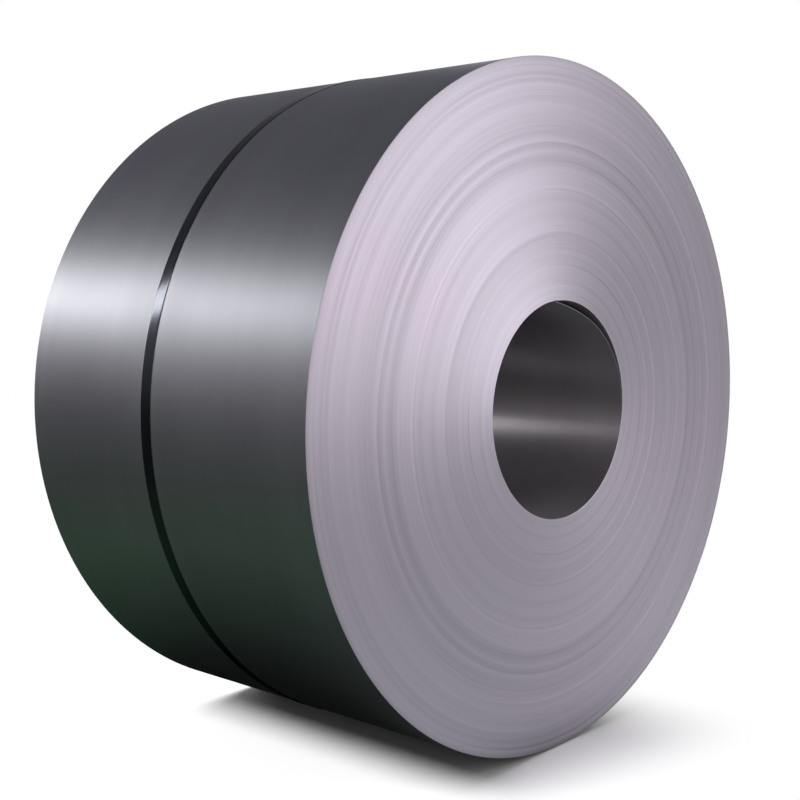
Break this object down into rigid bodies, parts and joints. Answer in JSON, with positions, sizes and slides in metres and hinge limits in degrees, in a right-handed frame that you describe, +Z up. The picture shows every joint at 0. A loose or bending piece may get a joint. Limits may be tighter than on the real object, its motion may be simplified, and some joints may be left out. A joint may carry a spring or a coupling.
{
  "type": "steel coil",
  "caption": "Coil of sheet steel lying on its side, wound round an open eye, with its laps showing on both ends and a steel strap round it.",
  "frame": {"origin": "on the floor under the middle of the coil's width", "axes": "+Z up, +Y along the eye towards the back end, +X to the right as seen from the front end"},
  "size_m": [1.6025, 0.914, 1.6025],
  "materials": {
    "sheet_steel": "satin rolled sheet",
    "strap_steel": "blue-black waxed strapping",
    "seal_steel": "blue-black waxed strapping"
  },
  "bodies": {
    "root": {"coil": "sheet_steel", "strap": "strap_steel", "strap_seal": "seal_steel"}
  },
  "joints": []
}
